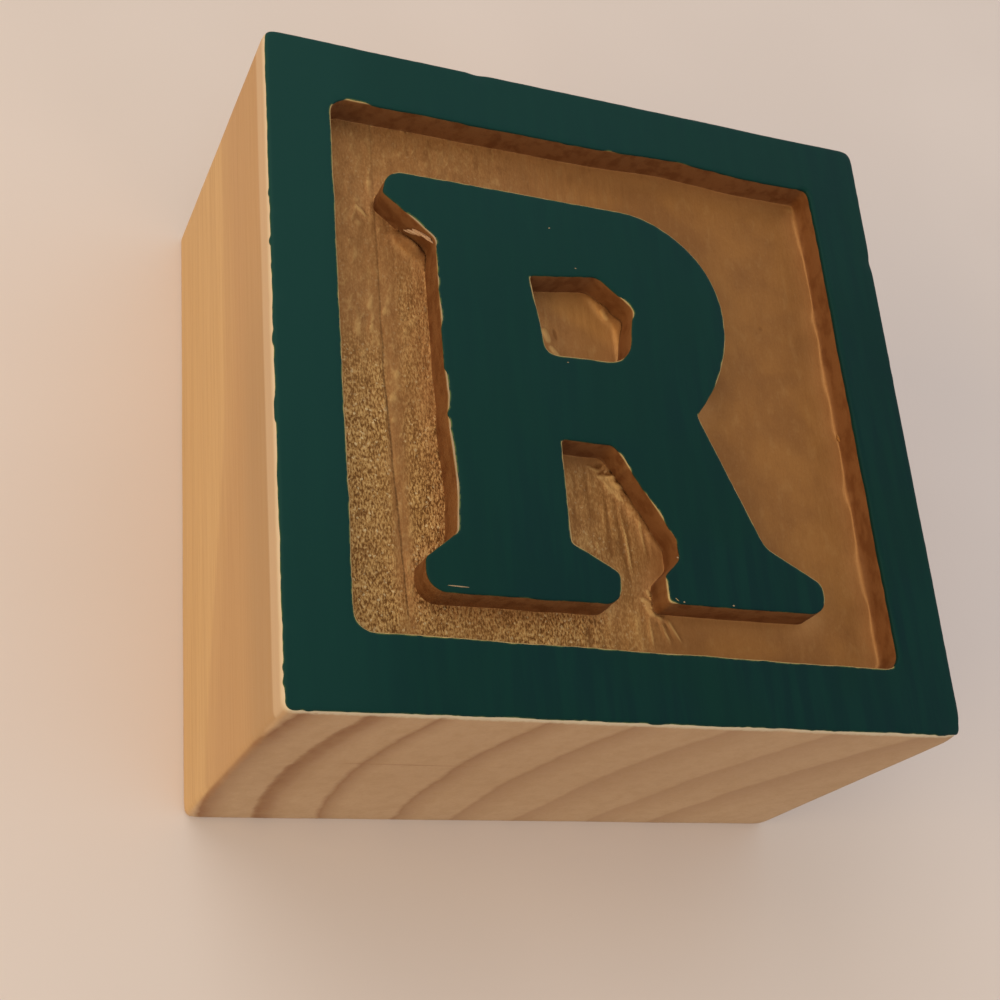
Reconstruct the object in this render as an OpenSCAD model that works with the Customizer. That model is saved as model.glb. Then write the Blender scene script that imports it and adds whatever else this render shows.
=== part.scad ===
// Carved alphabet block: one solid piece of pine with a letter left standing in a routed recess,
// green paint on the rim and on the letter, gold paint in the recess.
// The block lies on its back. +Z points out of the letter face, +Y up the letter, +X to its right.

/* [Block] */
// Width of the wood block, across the grain
block_width = 69.5; // [66:0.5:90]
// Height of the wood block, along the grain
block_height = 70; // [66:0.5:90]
// Thickness of the planed board that the block is cut from
block_thickness = 38; // [12:0.5:60]
// Radius of the sanded edges
edge_round = 0.5; // [0.2:0.1:2]

/* [Recess] */
// Width of the rim to the left and the right of the recess
rim_side = 6.6; // [4:0.1:8]
// Width of the rim above and below the recess
rim_end = 7; // [4:0.1:8]
// Depth of the recess in the bare wood
recess_depth = 3.1; // [1.5:0.1:6]
// Radius of the recess's four corners
recess_round = 1.8; // [1:0.1:4]

/* [Letter] */
// Clear width between the recess's left wall and the letter's upper serif
gap_left = 5; // [3:0.1:8]
// Clear width between the recess's right wall and the toe of the letter's leg
gap_right = 7.4; // [3:0.1:10]
// Clear height between the recess's upper wall and the top of the letter
gap_above = 7.35; // [3:0.05:10]
// Clear height between the recess's lower wall and the letter's base line
gap_below = 4.55; // [3:0.05:8]
// Width of the upright stroke
stem_width = 11.5; // [8:0.1:14]
// Thickness of the bar above the letter's eye
top_bar = 8.5; // [6:0.1:11]
// Thickness of the bar between the eye and the gap between the feet
cross_bar = 9.2; // [7:0.1:12]
// How far the eye is cut into the line of the upright stroke
eye_inset = 1.7; // [0.5:0.1:3]
// Reach of the upper serif to the left of the upright stroke
top_serif_reach = 5.1; // [3:0.1:7]
// Reach of the foot serif to the left of the upright stroke
foot_serif_reach = 3.2; // [2.4:0.1:5]

/* [Paint] */
// Thickness of the green coat
green_coat = 0.12; // [0.05:0.01:0.2]
// Thickness of the gold coat
gold_coat = 0.15; // [0.05:0.01:0.2]

/* [Hidden] */

// How far a cut runs past the face that it starts from
overrun = 1;
// Turn of one step of a rounded corner, in degrees
arc_step = 7.5;

recess_width = block_width - 2 * rim_side;
recess_height = block_height - 2 * rim_end;
recess_floor = block_thickness - recess_depth;

// The letter is drawn from the foot of its upright stroke: x from the stroke's left side, y from
// the base line.
letter_width = recess_width - gap_left - gap_right;
letter_height = recess_height - gap_above - gap_below;
letter_x = gap_left + top_serif_reach - recess_width / 2;
letter_y = gap_below - recess_height / 2;

// Heights below the gap between the feet, as shares of the gap's own height. That height and the
// eye's together are what the two bars leave of the letter.
crotch_share = 0.629;
foot_lift_share = 0.03;
serif_tip_share = 0.193;
ankle_share = 0.301;
serif_root_share = 0.349;
instep_share = 0.428;

open_height = letter_height - top_bar - cross_bar;
crotch_height = open_height * crotch_share;
foot_lift = crotch_height * foot_lift_share;
serif_tip = crotch_height * serif_tip_share;
ankle_height = crotch_height * ankle_share;
serif_root = crotch_height * serif_root_share;
instep_height = crotch_height * instep_share;

// Reaches to the right of the upright stroke, as shares of the room between it and the leg's toe
foot_serif_share = 0.172;
crotch_reach_share = 0.205;
heel_share = 0.348;
eye_share = 0.355;
ankle_reach_share = 0.414;
waist_share = 0.568;
bowl_share = 0.747;
instep_reach_share = 0.777;

leg_toe = letter_width - top_serif_reach;
leg_room = leg_toe - stem_width;
foot_serif_end = stem_width + leg_room * foot_serif_share;
crotch_end = stem_width + leg_room * crotch_reach_share;
leg_heel = stem_width + leg_room * heel_share;
leg_ankle = stem_width + leg_room * ankle_reach_share;
waist_reach = stem_width + leg_room * waist_share;
bowl_reach = stem_width + leg_room * bowl_share;
leg_instep = stem_width + leg_room * instep_reach_share;

// The waist, where bowl and leg meet, lies beside the cross bar. The bowl above it is two arcs that
// meet at its widest point. Its heights are shares of what is left above the waist.
waist_rise_share = 0.478;
bowl_turn_share = 0.277;
bowl_middle_share = 0.515;

waist_height = crotch_height + cross_bar * waist_rise_share;
bowl_height = letter_height - waist_height;
bowl_turn = waist_height + bowl_height * bowl_turn_share;
bowl_middle = waist_height + bowl_height * bowl_middle_share;
bowl_upper_round = letter_height - bowl_middle;
bowl_lean = atan((bowl_reach - waist_reach) / (bowl_turn - waist_height));
bowl_lower_round = (bowl_middle - bowl_turn) / tan(bowl_lean / 2);

// The upper serif's thickness at its tip and at the upright stroke, as shares of the top bar
top_tip_share = 0.318;
top_root_share = 0.835;
top_corner_share = 0.1;

top_tip = top_bar * top_tip_share;
top_tip_height = letter_height - top_tip;
top_root_height = letter_height - top_bar * top_root_share;
top_corner = top_serif_reach * (top_corner_share - 1);

// Roundings of the letter's corners. Those of the feet are shares of the foot serifs' thickness at
// their tips, and that of the upper serif is a share of its own.
sharp_round = 0.4;
root_round = 0.8;
ankle_round = 0.8;
crotch_round = 1.2;
instep_round = 2.5;
sole_round_share = 0.594;
tip_round_share = 0.281;
toe_round_share = 0.375;
top_round_share = 0.815;

sole_round = serif_tip * sole_round_share;
tip_round = serif_tip * tip_round_share;
toe_round = serif_tip * toe_round_share;
top_corner_round = top_tip * top_round_share;

// The eye's slants are shares of its width and height, its roundings shares of the smaller one
eye_lean_share = 0.096;
eye_slant_share = 0.112;
shoulder_run_share = 0.333;
shoulder_drop_share = 0.327;
eye_foot_round_share = 0.122;
eye_belly_round_share = 0.306;
eye_side_round_share = 0.092;
eye_shoulder_round_share = 0.153;

eye_left = stem_width - eye_inset;
eye_right = stem_width + leg_room * eye_share;
eye_bottom = crotch_height + cross_bar;
eye_top = letter_height - top_bar;
eye_width = eye_right - eye_left;
eye_height = eye_top - eye_bottom;
eye_narrow = min(eye_width, eye_height);
eye_lean = eye_width * eye_lean_share;

// Corners are x, y and radius, anticlockwise
recess_corners = [
    [-recess_width / 2, -recess_height / 2, recess_round],
    [recess_width / 2, -recess_height / 2, recess_round],
    [recess_width / 2, recess_height / 2, recess_round],
    [-recess_width / 2, recess_height / 2, recess_round]
];
letter_corners = [
    [-foot_serif_reach, 0, sole_round],
    [foot_serif_end, 0, sole_round],
    [foot_serif_end, serif_tip, tip_round],
    [stem_width, serif_root, sharp_round],
    [stem_width, crotch_height, sharp_round],
    [crotch_end, crotch_height, crotch_round],
    [leg_ankle, instep_height, ankle_round],
    [leg_ankle, ankle_height, ankle_round],
    [leg_heel, serif_tip, ankle_round],
    [leg_heel, foot_lift, sharp_round],
    [leg_toe, foot_lift, sole_round],
    [leg_toe, foot_lift + serif_tip, toe_round],
    [leg_instep, instep_height, instep_round],
    [waist_reach, waist_height, sharp_round],
    [bowl_reach, bowl_turn, bowl_lower_round],
    [bowl_reach, letter_height, bowl_upper_round],
    [top_corner, letter_height, top_corner_round],
    [-top_serif_reach, top_tip_height, sharp_round],
    [0, top_root_height, root_round],
    [0, serif_root, root_round],
    [-foot_serif_reach, serif_tip, tip_round]
];
eye_corners = [
    [eye_left + eye_lean, eye_bottom, eye_narrow * eye_foot_round_share],
    [eye_right - eye_lean, eye_bottom, eye_narrow * eye_belly_round_share],
    [eye_right, eye_top - eye_height * shoulder_drop_share, eye_narrow * eye_side_round_share],
    [eye_right - eye_width * shoulder_run_share, eye_top, eye_narrow * eye_shoulder_round_share],
    [eye_left, eye_top - eye_height * eye_slant_share, sharp_round]
];

// Turn to the left from the direction into a corner to the direction out of it, in degrees
function turn_at(into, out) = atan2(into.x * out.y - into.y * out.x, into * out);

// Arc that rounds one corner. The whole outline is moved outwards by grow, so the arc keeps its
// centre and a convex one gains what a hollow one loses.
function corner_arc(before, corner, after, grow) =
    let (
        here = [corner.x, corner.y],
        into = (here - [before.x, before.y]) / norm(here - [before.x, before.y]),
        out = ([after.x, after.y] - here) / norm([after.x, after.y] - here),
        turn = turn_at(into, out),
        side = sign(turn),
        centre = here - into * corner.z * tan(abs(turn) / 2) + side * corner.z * [-into.y, into.x],
        radius = corner.z + side * grow,
        start = atan2(-side * into.x, side * into.y),
        steps = ceil(abs(turn) / arc_step)
    )
    [for (step = [0:steps]) centre + radius * [cos(start + turn * step / steps), sin(start + turn * step / steps)]];

// Outline through rounded corners, moved outwards by grow
function rounded_outline(corners, grow = 0) =
    let (count = len(corners))
    [
        for (index = [0:count - 1])
            each corner_arc(
                corners[(index + count - 1) % count],
                corners[index],
                corners[(index + 1) % count],
                grow
            )
    ];

module rounded_rectangle(width, height) {
    for (side = [-1, 1], end = [-1, 1])
        translate([side * (width / 2 - edge_round), end * (height / 2 - edge_round)])
            circle(r = edge_round, $fn = 48);
    square([width - 2 * edge_round, height], center = true);
    square([width, height - 2 * edge_round], center = true);
}

// The board with all its edges sanded round: where three rounded bars cross
module sanded_board() {
    translate([0, 0, block_thickness / 2])
        intersection() {
            linear_extrude(block_thickness, center = true)
                rounded_rectangle(block_width, block_height);
            rotate([90, 0, 0])
                linear_extrude(block_height, center = true)
                    rounded_rectangle(block_width, block_thickness);
            rotate([90, 0, 90])
                linear_extrude(block_width, center = true)
                    rounded_rectangle(block_height, block_thickness);
        }
}

module recess_shape(grow = 0) {
    polygon(rounded_outline(recess_corners, grow));
}

module letter_shape(grow = 0) {
    translate([letter_x, letter_y])
        polygon(rounded_outline(letter_corners, grow));
}

module eye_shape(grow = 0) {
    translate([letter_x, letter_y])
        polygon(rounded_outline(eye_corners, grow));
}

// What the cutter takes away round the letter, with coat left on every wall
module ground_shape(coat = 0) {
    difference() {
        recess_shape(-coat);
        letter_shape(coat);
    }
}

module wood_block() {
    color("burlywood")
        difference() {
            sanded_board();
            translate([0, 0, recess_floor])
                linear_extrude(recess_depth + overrun)
                    ground_shape();
            translate([0, 0, recess_floor])
                linear_extrude(recess_depth + overrun)
                    eye_shape();
        }
}

module green_rim_coat() {
    color("darkslategray")
        translate([0, 0, block_thickness])
            linear_extrude(green_coat)
                difference() {
                    square([block_width - 2 * edge_round, block_height - 2 * edge_round], center = true);
                    recess_shape();
                }
}

module green_letter_coat() {
    color("darkslategray")
        translate([0, 0, block_thickness])
            linear_extrude(green_coat)
                difference() {
                    letter_shape();
                    eye_shape();
                }
}

module gold_recess_coat() {
    color("goldenrod")
        translate([0, 0, recess_floor])
            difference() {
                linear_extrude(recess_depth)
                    ground_shape();
                translate([0, 0, gold_coat])
                    linear_extrude(recess_depth)
                        ground_shape(gold_coat);
            }
}

module gold_eye_coat() {
    color("goldenrod")
        translate([0, 0, recess_floor])
            difference() {
                linear_extrude(recess_depth)
                    eye_shape();
                translate([0, 0, gold_coat])
                    linear_extrude(recess_depth)
                        eye_shape(-gold_coat);
            }
}

wood_block();
green_rim_coat();
green_letter_coat();
gold_recess_coat();
gold_eye_coat();
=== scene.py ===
# Alphabet block: a routed pine offcut with green and gold paint, lying on a pale studio floor.
import math
from functools import partialmethod

import bpy
import numpy as np
from mathutils.geometry import delaunay_2d_cdt
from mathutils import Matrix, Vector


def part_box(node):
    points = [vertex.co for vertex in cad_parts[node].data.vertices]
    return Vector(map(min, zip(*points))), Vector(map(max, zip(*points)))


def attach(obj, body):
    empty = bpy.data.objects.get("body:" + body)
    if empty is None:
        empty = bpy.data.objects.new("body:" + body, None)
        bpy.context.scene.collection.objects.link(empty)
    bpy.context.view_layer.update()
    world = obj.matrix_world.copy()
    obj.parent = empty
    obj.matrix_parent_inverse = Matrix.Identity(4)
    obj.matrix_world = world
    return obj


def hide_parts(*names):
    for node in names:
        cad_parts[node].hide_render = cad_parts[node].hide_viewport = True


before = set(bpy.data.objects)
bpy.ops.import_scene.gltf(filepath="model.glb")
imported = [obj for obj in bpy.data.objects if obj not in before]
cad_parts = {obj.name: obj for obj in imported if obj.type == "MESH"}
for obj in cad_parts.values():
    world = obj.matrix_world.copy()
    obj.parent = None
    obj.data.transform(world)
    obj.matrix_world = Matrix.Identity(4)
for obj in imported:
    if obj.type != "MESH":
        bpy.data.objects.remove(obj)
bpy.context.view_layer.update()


# The pine block
# One offcut of fast-grown pine, sawn to length, sanded at its edges and routed on one face, so that
# the rim and the letter are left standing. All the paint sits on this one piece. Shapes are worked
# out in millimetres and go into their meshes in metres.

MM = 0.001
QUARTER = math.pi / 2

block_low, block_high = np.array(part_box("wood_block")) / MM
rim_low, rim_high = np.array(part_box("green_rim_coat")) / MM
face_height = block_high[2]
recess_depth = face_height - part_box("gold_recess_coat")[0][2] / MM
# Radii of the sanded outer edges, of the carved arrises, and of the hollow along the foot of a carved
# wall as it should be and where the cutter was worn, and how far the sides are sanded in
sanded_round = rim_low[0] - block_low[0]
carved_round = 0.12
foot_hollow = 0.13
worn_hollow = 0.8
side_sink = 0.07


def coat_outlines(node):
    """Outlines of a coat's level top. Of the triangles at the greatest height, an edge that only one of
    them uses lies on an outline. Each outline runs with the coat on its left."""
    micron = 0.001
    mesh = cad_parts[node].data
    mesh.calc_loop_triangles()
    places = np.array([vertex.co for vertex in mesh.vertices])
    corners = np.array([triangle.vertices for triangle in mesh.loop_triangles])
    microns = np.round(places / (micron * MM)).astype(int)
    spots, merged = np.unique(microns, axis=0, return_inverse=True)
    triangles = merged.reshape(-1)[corners]
    top = triangles[(spots[triangles][:, :, 2] == spots[:, 2].max()).all(axis=1)]
    edges = set(map(tuple, top[:, [0, 1, 1, 2, 2, 0]].reshape(-1, 2).tolist()))
    onward = {start: end for start, end in edges if (end, start) not in edges}
    outlines = []
    while onward:
        here, onto = onward.popitem()
        chain = [here]
        while onto != chain[0]:
            chain.append(onto)
            onto = onward.pop(onto)
        outlines.append(spots[chain][:, :2] * micron)
    return sorted(outlines, key=lambda outline: -np.ptp(outline[:, 0]))


def following(ring, axis=0):
    """For each item of a closed ring, the item that follows it."""
    return np.roll(ring, -1, axis=axis)


def walk_round(outline, step, soften):
    """Points round a closed outline. It is walked at a tenth of a millimetre, every point is averaged
    with its neighbours until corners are softened by about the given length, and it is walked again
    with one point to each step of length and one more to each 14 degrees of turning."""
    fine_step = 0.1
    turn_step = math.radians(14)

    def sampled(line, measure, count):
        at = np.arange(count) * measure[-1] / count
        closed = np.vstack([line, line[:1]])
        return np.stack([np.interp(at, measure, closed[:, axis]) for axis in (0, 1)], axis=1)

    def measured(steps):
        return np.concatenate([[0], np.cumsum(steps)])

    def lengths(line):
        return np.hypot(*(following(line) - line).T)

    run = measured(lengths(outline))
    line = sampled(outline, run, int(run[-1] / fine_step))
    for again in range(int(2 * (soften / fine_step) ** 2)):
        line = (np.roll(line, 1, axis=0) + 2 * line + following(line)) / 4
    ways = following(line) - line
    before = np.roll(ways, 1, axis=0)
    crossed = before[:, 0] * ways[:, 1] - before[:, 1] * ways[:, 0]
    turns = np.abs(np.arctan2(crossed, (before * ways).sum(axis=1)))
    measure = measured(lengths(line) / step + turns / turn_step)
    return sampled(line, measure, int(measure[-1]))


def outward_of(walk):
    """Unit directions away from the material: a quarter turn to the right of the way along the walk."""
    way = following(walk) - np.roll(walk, 1, axis=0)
    way /= np.hypot(*way.T)[:, None]
    return np.stack([way[:, 1], -way[:, 0]], axis=1)


def ease(value, start, end):
    """Goes from 0 at start to 1 at end as 3t² - 2t³."""
    share = np.clip((value - start) / (end - start), 0, 1)
    return share * share * (3 - 2 * share)


def soft_noise(places, size, seed):
    """Smooth noise from -1 to 1 over the plan: random values at the corners of a lattice with cells of the
    given size, blended by 3t² - 2t³ both ways. Size may be a pair, across and along the grain."""
    count = 251
    middle = 1000
    lattice = np.random.default_rng(seed).uniform(-1, 1, (count, count))
    cells = places[:, :2] / np.array(size) * np.ones(2) + middle
    corner = np.floor(cells).astype(int)
    across, along = ease(cells - corner, 0, 1).T
    left, low = (corner % count).T
    right, high = (left + 1) % count, (low + 1) % count
    lower = lattice[left, low] * (1 - across) + lattice[right, low] * across
    upper = lattice[left, high] * (1 - across) + lattice[right, high] * across
    return lower * (1 - along) + upper * along


def hump(places, centre, width, height=1):
    """The height times e to the minus squared distance from the centre over the width, which may be one for
    each axis."""
    away = (places[:, :len(centre)] - np.array(centre)) / np.array(width)
    return height * np.exp(-(away ** 2).sum(axis=1))


def hand_guided(walk, seed):
    """The router was led by hand: the outline wanders sideways by up to 0.07 mm."""
    wander = 0.05 * soft_noise(walk, 3.1, seed) + 0.02 * soft_noise(walk, 0.9, seed + 1)
    return walk + outward_of(walk) * wander[:, None]


def cutter_drift(walk):
    """The recess isn't quite square. Its right side leans out towards the foot and its lower side falls to
    the right, each by up to 0.4 mm, its upper side is cut 0.15 mm too far and swells by 0.5 mm more right
    of the middle, and its upper right corner is cut 0.4 mm further out both ways."""
    right_lean = 0.0125
    foot_lean = 0.0115
    head_swell = 0.5
    across, up = walk.T
    right = ease(across, 14, 25) * (0.05 - right_lean * up)
    lower = ease(-up, 14, 25) * (0.05 - foot_lean * across)
    upper = ease(up, 14, 25) * (0.15 + head_swell * np.exp(-((across - 10) / 5.5) ** 2))
    tight = hump(walk, (27.3, 27.6), width=0.9, height=0.38)
    return walk + np.stack([right + tight, lower + upper + tight], axis=1)


def letter_drift(walk):
    """The upright's left side was shaved too deep below its middle, by up to 0.35 mm."""
    across, up = walk.T
    left = ease(-across, 16, 17.5) * ease(up, -19, -16.5)
    shaved = 0.35 * np.exp(-((up + 12.6) / 3.6) ** 2) + 0.1 * np.exp(-((up + 3.4) / 1.5) ** 2)
    return walk + np.stack([shaved * left, np.zeros(len(walk))], axis=1)


class Wall:
    """A section carried round a closed walk. It sets out level, at a reach from the walk, and each of its
    pieces has a length and a turn: an arc, or straight on where the turn is 0. Its joints are the runs
    at which one piece gives way to the next."""

    def __init__(self, walk, reach, pieces):
        self.walk = walk
        self.outward = outward_of(walk)
        self.reach = reach
        self.pieces = pieces
        lengths = [np.broadcast_to(length, len(walk)) for length, turn in pieces]
        self.joints = np.cumsum([np.zeros(len(walk))] + lengths, axis=0)

    def surface(self, runs):
        """Places and unit normals at rows of runs down the section. Along an arc, whose radius is its
        length over its turn, the reach grows as the sine of the heading and the fall as minus its cosine."""
        reach = self.reach + np.minimum(runs, 0)
        fall = np.zeros(runs.shape)
        lean = np.zeros(runs.shape)
        heading = 0
        for (length, turn), begun in zip(self.pieces, self.joints):
            part = np.clip(runs - begun, 0, length)
            if turn:
                radius = length / turn
                reach += radius * (np.sin(heading + part / radius) - math.sin(heading))
                fall += radius * (math.cos(heading) - np.cos(heading + part / radius))
                lean += part / radius
            else:
                reach += part * math.cos(heading)
                fall += part * math.sin(heading)
            heading += turn
        places = np.dstack([self.walk + self.outward * reach[:, :, None], face_height - fall])
        return places, np.dstack([self.outward * np.sin(lean)[:, :, None], np.cos(lean)])


def carved_wall(walk):
    """A wall that the cutter left: a small rounded arris, the wall itself and a hollow along its foot, wider
    and uneven along the recess's right side, where the cutter was worn."""
    worn_share = ease(walk[:, 0], 25, 27.5) * (0.7 + 0.55 * soft_noise(walk, 2.6, 19))
    hollow = foot_hollow + (worn_hollow - foot_hollow) * worn_share
    upright = recess_depth - carved_round - hollow
    pieces = [(carved_round * QUARTER, QUARTER), (upright, 0), (hollow * QUARTER, -QUARTER)]
    return Wall(walk, -carved_round, pieces)


def sanded_wall(step):
    """The block's side between two rounded edges, walked in the given steps."""
    edge = (sanded_round * QUARTER, QUARTER)
    outline = rim_outline * (1 - side_sink / rim_high[:2])
    return Wall(walk_round(outline, step, 0.22), 0, [edge, (face_height - 2 * sanded_round, 0), edge])


rim_outline, recess_outline = coat_outlines("green_rim_coat")
letter_outline, eye_outline = coat_outlines("green_letter_coat")
block_side = sanded_wall(0.5)
recess_wall = carved_wall(hand_guided(cutter_drift(walk_round(recess_outline, 0.24, 0.25)), 11))
letter_wall = carved_wall(hand_guided(letter_drift(walk_round(letter_outline, 0.2, 0.17)), 13))
eye_wall = carved_wall(hand_guided(walk_round(eye_outline, 0.22, 0.2), 17))


def in_parts(spots, most=4000):
    """Numbers of the spots, a few thousand at a time."""
    return np.array_split(np.arange(len(spots)), len(spots) // most + 1)


def odd_crossings(spots, rings):
    """True where a line to the right of a spot crosses the closed rings an odd number of times."""
    inside = np.zeros(len(spots), bool)
    for ring in rings:
        onto = following(ring)
        rise = np.where(onto[:, 1] == ring[:, 1], 1, onto[:, 1] - ring[:, 1])
        for part in in_parts(spots):
            across, up = spots[part, 0, None], spots[part, 1, None]
            spans = (ring[:, 1] > up) != (onto[:, 1] > up)
            crossing = ring[:, 0] + (up - ring[:, 1]) * (onto[:, 0] - ring[:, 0]) / rise
            inside[part] ^= (spans & (across < crossing)).sum(axis=1) % 2 == 1
    return inside


def gap_to(spots, others):
    """Distance from each spot to the nearest of the others."""
    gap = np.empty(len(spots))
    for part in in_parts(spots):
        squares = sum((spots[part, axis, None] - others[:, axis]) ** 2 for axis in range(spots.shape[1]))
        gap[part] = np.sqrt(squares.min(axis=1))
    return gap


def quads(first, second, third, fourth):
    """Two triangles for each set of four corners."""
    return np.stack([first, second, third, first, third, fourth], axis=-1).reshape(-1, 3)


class Skin:
    """A surface sewn from closed rows of points: bands down the walls, and level ground between rows."""

    def __init__(self):
        self.places = np.empty((0, 3))
        self.normals = np.empty((0, 3))
        self.corners = np.empty((0, 3), int)

    def add(self, places, normals=(0, 0, 0)):
        """Takes in points with their normals, or with one for them all, and returns their numbers."""
        first = len(self.places)
        self.places = np.vstack([self.places, places])
        self.normals = np.vstack([self.normals, np.broadcast_to(normals, places.shape)])
        return np.arange(first, len(self.places))

    def band(self, wall, marks, counts):
        """Sews rows of points down a wall, from each mark to the next in a count of even steps. A mark is a
        run and may vary round the wall. Returns the first and the last row."""
        runs = [marks[0]]
        for start, end, count in zip(marks, marks[1:], counts):
            runs += [start + (end - start) * step / count for step in range(1, count + 1)]
        runs = np.stack(np.broadcast_arrays(*runs))
        places, normals = wall.surface(runs)
        rows = self.add(places.reshape(-1, 3), normals.reshape(-1, 3)).reshape(runs.shape)
        beside = following(rows, axis=1)
        self.corners = np.vstack([self.corners, quads(rows[:-1], rows[1:], beside[1:], beside[:-1])])
        return rows[0], rows[-1]

    def ground(self, rows, pitch, upward=1):
        """Covers the level ground between closed rows: new points on a lattice of even triangles, kept
        where a line sideways crosses the rows an odd number of times, joined by a constrained
        triangulation, whose triangles run anticlockwise. Upward is -1 for ground that faces down."""
        edge = np.concatenate(rows)
        rings = [self.places[row][:, :2] for row in rows]
        outline = np.vstack(rings)
        least_gap = 0.62 * pitch
        merging_gap = 1e-6
        low, high = outline.min(axis=0), outline.max(axis=0)
        up, across = np.mgrid[low[1]:high[1]:pitch * math.sqrt(0.75), low[0]:high[0]:pitch]
        across[1::2] += pitch / 2
        lattice = np.stack([across.ravel(), up.ravel()], axis=1)
        lattice = lattice[odd_crossings(lattice, rings)]
        lattice = lattice[gap_to(lattice, outline) > least_gap]
        spots = np.vstack([outline, lattice])
        numbers = np.split(np.arange(len(outline)), np.cumsum([len(ring) for ring in rings[:-1]]))
        links = [np.stack([ring, following(ring)], axis=1) for ring in numbers]
        laid = delaunay_2d_cdt(spots.tolist(), np.vstack(links).tolist(), [], 1, merging_gap)
        if len(laid[0]) != len(spots):
            raise ValueError("the rows cross each other")
        triangles = np.array(laid[2])[:, ::upward]
        triangles = triangles[odd_crossings(spots[triangles].mean(axis=1), rings)]
        level = np.full(len(lattice), self.places[edge, 2].mean())
        inner = self.add(np.column_stack([lattice, level]), (0, 0, upward))
        self.corners = np.vstack([self.corners, np.concatenate([edge, inner])[triangles]])


# Knocks on the edges and corners: place, width and depth
knocks = [
    ((34.6, -34.9, 38.0), 1.5, 0.34),
    ((-34.7, -34.9, 38.0), 0.9, 0.22),
    ((-34.7, 34.9, 38.0), 0.8, 0.2),
    ((34.7, 34.9, 38.0), 0.9, 0.2),
    ((-34.7, -27.4, 38.0), 0.7, 0.12),
    ((-34.7, -19.5, 37.9), 0.5, 0.1),
    ((-34.7, 4.5, 38.0), 0.9, 0.12),
    ((-34.7, 13.8, 37.9), 0.5, 0.1),
    ((-20.0, -35.0, 37.9), 0.8, 0.1),
    ((14.0, -35.0, 37.9), 1.1, 0.14),
    ((26.5, -35.0, 38.0), 0.8, 0.12),
    ((-34.7, -34.9, 0.0), 0.9, 0.14),
    ((34.7, -34.9, 0.0), 0.9, 0.16),
    ((34.7, 20.0, 37.9), 1.0, 0.14),
    ((-12.0, 35.0, 38.0), 0.9, 0.14),
    ((-34.7, -34.9, 24.0), 0.6, 0.06),
]
# Long waves that the planer left: how fast each turns across, up and through the board, and its start
waves = [(0.41, 0.13, 0.29, 1.0), (-0.17, 0.37, 0.23, 2.6), (0.29, -0.23, 0.47, 4.1)]
wave_depth = 0.04


def worn(places, normals):
    """Sinks a surface by the mean of the waves, each half of 1 plus a sine, and by a hump at each knock."""
    sunk = np.zeros(len(places))
    for across, up, through, start in waves:
        sunk += wave_depth * (1 + np.sin(places @ np.array([across, up, through]) + start)) / 6
    for knock in knocks:
        sunk += hump(places, *knock)
    return places - normals * sunk[:, None]


def in_scene(name, data):
    """A new object in the scene."""
    thing = bpy.data.objects.new(name, data)
    bpy.context.scene.collection.objects.link(thing)
    return thing


def new_piece(name, places, corners, marks=()):
    """A mesh object from places and triangles, smooth all over, with float marks on its points."""
    mesh = bpy.data.meshes.new(name)
    mesh.from_pydata((places * MM).tolist(), [], corners.tolist(), shade_flat=False)
    for mark, values in marks:
        mesh.attributes.new(mark, "FLOAT", "POINT").data.foreach_set("value", values.astype(np.float32))
    return in_scene(name, mesh)


wood = Skin()
outer_top, outer_foot = wood.band(block_side, block_side.joints, (5, 50, 5))
(recess_top, recess_foot), (letter_top, letter_foot), (eye_top, eye_foot) = (
    wood.band(wall, wall.joints, (3, 3, 4)) for wall in (recess_wall, letter_wall, eye_wall)
)
for rows in ([outer_top, recess_top], [recess_foot, letter_foot], [letter_top, eye_top], [eye_foot]):
    wood.ground(rows, pitch=1.2)
wood.ground([outer_foot], pitch=1.8, upward=-1)
block = new_piece("pine_block", worn(wood.places, wood.normals), wood.corners)


def put(tree, kind, inputs=(), **settings):
    """Adds a shader node, sets its options, and gives each input a value or a link from a wire."""
    node = tree.nodes.new(kind)
    for name, value in settings.items():
        setattr(node, name, value)
    for socket, value in dict(inputs).items():
        if isinstance(value, Wire):
            tree.links.new(value.socket, node.inputs[socket])
        else:
            node.inputs[socket].default_value = value
    return node


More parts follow.
